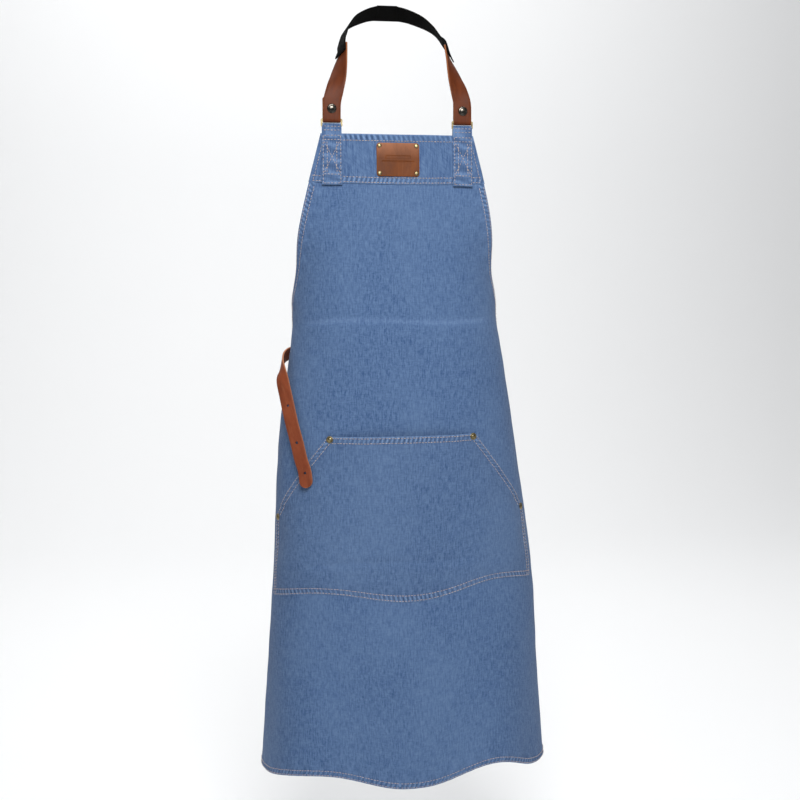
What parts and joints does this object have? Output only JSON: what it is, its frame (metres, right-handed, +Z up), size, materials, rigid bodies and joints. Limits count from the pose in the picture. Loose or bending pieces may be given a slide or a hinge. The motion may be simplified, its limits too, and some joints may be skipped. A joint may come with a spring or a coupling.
{
  "type": "bib apron",
  "caption": "Blue denim bib apron with leather straps, a black neck band, a front pocket and a rear waist buckle, held in its worn shape.",
  "frame": {"origin": "middle of the neck band's inner face, the place the apron hangs from", "axes": "+Z up, -Y out of the apron's front, +X to the right when seen from the front"},
  "size_m": [0.4174, 0.2615, 1.0961],
  "materials": {
    "denim": "washed blue denim twill",
    "webbing": "matte black woven tape",
    "strap_leather": "waxed reddish-brown leather",
    "patch_leather": "tan leather, lighter at the top",
    "gunmetal": "polished dark press stud",
    "antique_brass": "dull antique brass"
  },
  "bodies": {
    "neck_loop": {"neck_band": "webbing", "neck_strap_left": "strap_leather", "neck_strap_right": "strap_leather", "neck_snap_cap_left": "gunmetal", "neck_snap_cap_right": "gunmetal", "neck_snap_socket_left": "gunmetal", "neck_snap_socket_right": "gunmetal"},
    "neck_tail_left": {"neck_tail_left": "strap_leather", "neck_snap_stud_left": "gunmetal"},
    "neck_tail_right": {"neck_tail_right": "strap_leather", "neck_snap_stud_right": "gunmetal"},
    "neck_ring_left": {"neck_ring_left": "antique_brass"},
    "neck_ring_right": {"neck_ring_right": "antique_brass"},
    "apron": {"apron_panel": "denim", "bib_band": "denim", "strap_tab_left": "denim", "strap_tab_right": "denim", "label_patch": "patch_leather", "label_rivet_1": "antique_brass", "label_rivet_2": "antique_brass", "label_rivet_3": "antique_brass", "label_rivet_4": "antique_brass", "pocket_panel": "denim", "pocket_rivet_1": "antique_brass", "pocket_burr_1": "antique_brass", "pocket_rivet_2": "antique_brass", "pocket_burr_2": "antique_brass", "pocket_rivet_3": "antique_brass", "pocket_burr_3": "antique_brass", "pocket_rivet_4": "antique_brass", "pocket_burr_4": "antique_brass", "waist_tab_left": "denim", "waist_tab_right": "denim", "waist_ring_left": "antique_brass", "waist_ring_right": "antique_brass"},
    "waist_strap_left": {"waist_strap_left": "strap_leather", "waist_rivet_left": "antique_brass", "waist_burr_left": "antique_brass"},
    "waist_strap_right": {"waist_strap_right": "strap_leather", "waist_rivet_right": "antique_brass", "waist_burr_right": "antique_brass", "strap_keeper": "strap_leather", "buckle_rivet": "antique_brass", "buckle_burr": "antique_brass"},
    "buckle_frame": {"buckle_frame": "antique_brass"},
    "buckle_prong": {"buckle_prong": "antique_brass"}
  },
  "joints": [
    {"name": "neck_tail_left_fold", "type": "hinge", "parent": "neck_loop", "child": "neck_tail_left", "pos_m": [-0.089, -0.11101, -0.16395], "axis": [-1, 0, 0], "range_deg": [0, 90]},
    {"name": "neck_tail_right_fold", "type": "hinge", "parent": "neck_loop", "child": "neck_tail_right", "pos_m": [0.089, -0.11101, -0.16395], "axis": [-1, 0, 0], "range_deg": [0, 90]},
    {"name": "neck_ring_left_swing", "type": "hinge", "parent": "neck_loop", "child": "neck_ring_left", "pos_m": [-0.089, -0.11421, -0.16695], "axis": [1, 0, 0], "range_deg": [-25, 25]},
    {"name": "neck_ring_right_swing", "type": "hinge", "parent": "neck_loop", "child": "neck_ring_right", "pos_m": [0.089, -0.11421, -0.16695], "axis": [1, 0, 0], "range_deg": [-25, 25]},
    {"name": "apron_swing", "type": "hinge", "parent": "neck_ring_left", "child": "apron", "pos_m": [-0.089, -0.11421, -0.17565], "axis": [1, 0, 0], "range_deg": [-45, 45]},
    {"name": "waist_strap_left_swing", "type": "hinge", "parent": "apron", "child": "waist_strap_left", "pos_m": [-0.05252, 0.05215, -0.52014], "axis": [-0.0706, 0.1587, -0.9848], "range_deg": [0, 120]},
    {"name": "waist_strap_right_swing", "type": "hinge", "parent": "apron", "child": "waist_strap_right", "pos_m": [0.08398, 0.04598, -0.52014], "axis": [-0.0843, -0.1591, 0.9837], "range_deg": [0, 60]},
    {"name": "buckle_frame_turn", "type": "hinge", "parent": "waist_strap_right", "child": "buckle_frame", "pos_m": [0.126, 0.10265, -0.704], "axis": [-1, 0, 0], "range_deg": [-20, 45]},
    {"name": "buckle_prong_turn", "type": "hinge", "parent": "buckle_frame", "child": "buckle_prong", "pos_m": [0.126, 0.10265, -0.704], "axis": [1, 0, 0], "range_deg": [0, 90]}
  ],
  "couplings": [
    {"joint": "neck_ring_right_swing", "follows": "neck_ring_left_swing", "ratio": 1}
  ]
}
